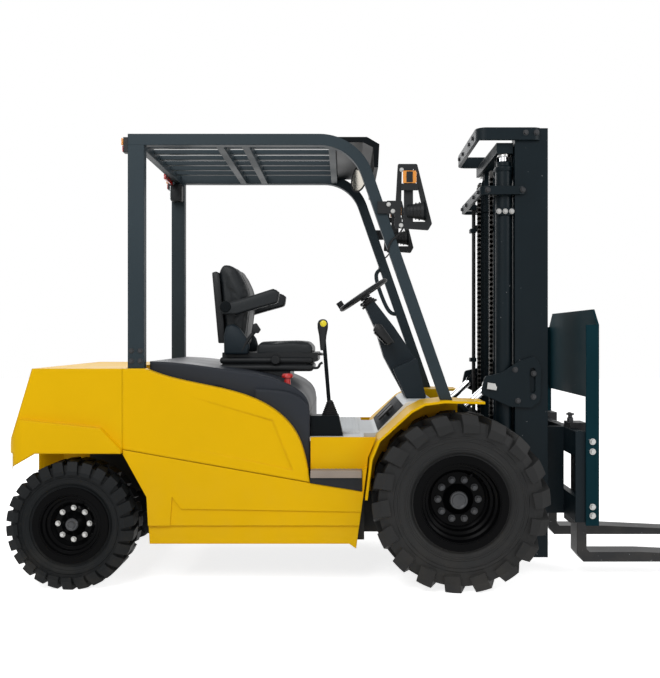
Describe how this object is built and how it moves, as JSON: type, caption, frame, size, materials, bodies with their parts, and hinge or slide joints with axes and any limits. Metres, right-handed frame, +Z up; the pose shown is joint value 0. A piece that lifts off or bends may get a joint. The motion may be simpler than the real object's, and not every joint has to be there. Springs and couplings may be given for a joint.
{
  "type": "rough terrain forklift truck",
  "caption": "Counterbalanced forklift truck on large lugged tyres, with a tilting two-stage mast, forks, a seat deck that opens and an overhead guard.",
  "frame": {"origin": "on the floor, under the middle of the overall length and width", "axes": "+X forward towards the fork tips, +Y to the operator's left, +Z up"},
  "size_m": [3.969, 1.36, 2.312],
  "materials": {
    "yellow_paint": "satin gloss",
    "dark_paint": "satin",
    "mast_paint": "satin",
    "backrest_paint": "satin",
    "chassis_cast": "painted casting",
    "fork_steel": "black forged steel",
    "chain_steel": "oiled",
    "chromed_rod": "polished",
    "rim_paint": "gloss",
    "tyre": "matte rubber",
    "floor_plate": "matte",
    "step_tread": "anti-slip",
    "dark_plastic": "grained",
    "battery_case": "matte",
    "seat_vinyl": "matte vinyl"
  },
  "bodies": {
    "chassis": {"frame": "dark_paint", "battery": "battery_case", "counterweight": "yellow_paint", "side_panels": "yellow_paint", "side_skirts": "yellow_paint", "steps": "step_tread", "floor_board": "floor_plate", "leg_panel": "dark_paint", "toe_board": "floor_plate", "front_fenders": "yellow_paint", "rear_beam": "yellow_paint", "drive_axle": "chassis_cast", "steer_axle": "chassis_cast", "steering_column": "dark_plastic", "lever_console": "dark_plastic", "guard_sides": "dark_paint", "guard_posts": "dark_paint", "guard_roof": "dark_paint", "guard_visor": "dark_plastic", "headlamps": "dark_plastic", "tail_lamps": "dark_plastic"},
    "hood": {"hood": "dark_paint", "seat_base": "dark_plastic", "seat_cushion": "seat_vinyl", "seat_back": "seat_vinyl", "armrests": "dark_plastic"},
    "steering_wheel": {"steering_wheel": "dark_plastic"},
    "mast_outer": {"mast_outer_rails": "mast_paint", "mast_outer_ties": "mast_paint", "lift_barrels": "mast_paint", "chain_rear_outer": "chain_steel"},
    "mast_inner": {"mast_inner_rails": "mast_paint", "mast_inner_ties": "mast_paint", "lift_rods": "chromed_rod", "chain_rear_inner": "chain_steel", "chain_front": "chain_steel"},
    "carriage": {"carriage": "mast_paint", "forks": "fork_steel", "load_backrest": "backrest_paint"},
    "front_wheel_right": {"front_tyre_right": "tyre", "front_rim_right": "rim_paint"},
    "knuckle_right": {"knuckle_right": "chassis_cast"},
    "rear_wheel_right": {"rear_tyre_right": "tyre", "rear_rim_right": "rim_paint"},
    "tilt_barrel_right": {"tilt_barrel_right": "mast_paint"},
    "tilt_rod_right": {"tilt_rod_right": "chromed_rod"},
    "front_wheel_left": {"front_tyre_left": "tyre", "front_rim_left": "rim_paint"},
    "knuckle_left": {"knuckle_left": "chassis_cast"},
    "rear_wheel_left": {"rear_tyre_left": "tyre", "rear_rim_left": "rim_paint"},
    "tilt_barrel_left": {"tilt_barrel_left": "mast_paint"},
    "tilt_rod_left": {"tilt_rod_left": "chromed_rod"}
  },
  "joints": [
    {"name": "mast_tilt", "type": "hinge", "parent": "chassis", "child": "mast_outer", "pos_m": [0.4155, 0, 0.36], "axis": [0, 1, 0], "range_deg": [-10, 6]},
    {"name": "mast_lift", "type": "slide", "parent": "mast_outer", "child": "mast_inner", "axis": [0, 0, 1], "range_m": [0, 1.5]},
    {"name": "carriage_lift", "type": "slide", "parent": "mast_inner", "child": "carriage", "axis": [0, 0, 1], "range_m": [0, 1.5], "deforming": ["chain_front"]},
    {"name": "hood_lift", "type": "hinge", "parent": "chassis", "child": "hood", "pos_m": [-1.3275, 0, 1.04], "axis": [0, -1, 0], "range_deg": [0, 60]},
    {"name": "steering_wheel_turn", "type": "hinge", "parent": "chassis", "child": "steering_wheel", "pos_m": [-0.2275, 0, 1.468], "axis": [-0.5591, 0, 0.8291], "continuous": true},
    {"name": "front_wheel_right_spin", "type": "hinge", "parent": "chassis", "child": "front_wheel_right", "pos_m": [0.2295, -0.525, 0.43], "axis": [0, 1, 0], "continuous": true},
    {"name": "steer_right", "type": "hinge", "parent": "chassis", "child": "knuckle_right", "pos_m": [-1.6705, -0.347, 0.3125], "axis": [0, 0, 1], "range_deg": [-60, 60]},
    {"name": "rear_wheel_right_spin", "type": "hinge", "parent": "knuckle_right", "child": "rear_wheel_right", "pos_m": [-1.6705, -0.512, 0.3125], "axis": [0, 1, 0], "continuous": true},
    {"name": "tilt_cylinder_right", "type": "hinge", "parent": "chassis", "child": "tilt_barrel_right", "pos_m": [0.0395, -0.3, 0.64], "axis": [0, 1, 0], "range_deg": [-9, 5.5]},
    {"name": "tilt_stroke_right", "type": "slide", "parent": "tilt_barrel_right", "child": "tilt_rod_right", "axis": [0.7452, 0, 0.6668], "range_m": [-0.085, 0.052]},
    {"name": "front_wheel_left_spin", "type": "hinge", "parent": "chassis", "child": "front_wheel_left", "pos_m": [0.2295, 0.525, 0.43], "axis": [0, 1, 0], "continuous": true},
    {"name": "steer_left", "type": "hinge", "parent": "chassis", "child": "knuckle_left", "pos_m": [-1.6705, 0.347, 0.3125], "axis": [0, 0, 1], "range_deg": [-60, 60]},
    {"name": "rear_wheel_left_spin", "type": "hinge", "parent": "knuckle_left", "child": "rear_wheel_left", "pos_m": [-1.6705, 0.512, 0.3125], "axis": [0, 1, 0], "continuous": true},
    {"name": "tilt_cylinder_left", "type": "hinge", "parent": "chassis", "child": "tilt_barrel_left", "pos_m": [0.0395, 0.3, 0.64], "axis": [0, 1, 0], "range_deg": [-9, 5.5]},
    {"name": "tilt_stroke_left", "type": "slide", "parent": "tilt_barrel_left", "child": "tilt_rod_left", "axis": [0.7452, 0, 0.6668], "range_m": [-0.085, 0.052]}
  ],
  "couplings": [
    {"joint": "carriage_lift", "follows": "mast_lift", "ratio": 1},
    {"joint": "tilt_cylinder_right", "follows": "mast_tilt", "ratio": 0.84},
    {"joint": "tilt_stroke_right", "follows": "mast_tilt", "m_per_rad": 0.4575},
    {"joint": "tilt_cylinder_left", "follows": "mast_tilt", "ratio": 0.84},
    {"joint": "tilt_stroke_left", "follows": "mast_tilt", "m_per_rad": 0.4575},
    {"joint": "steer_left", "follows": "steer_right", "ratio": 1}
  ]
}
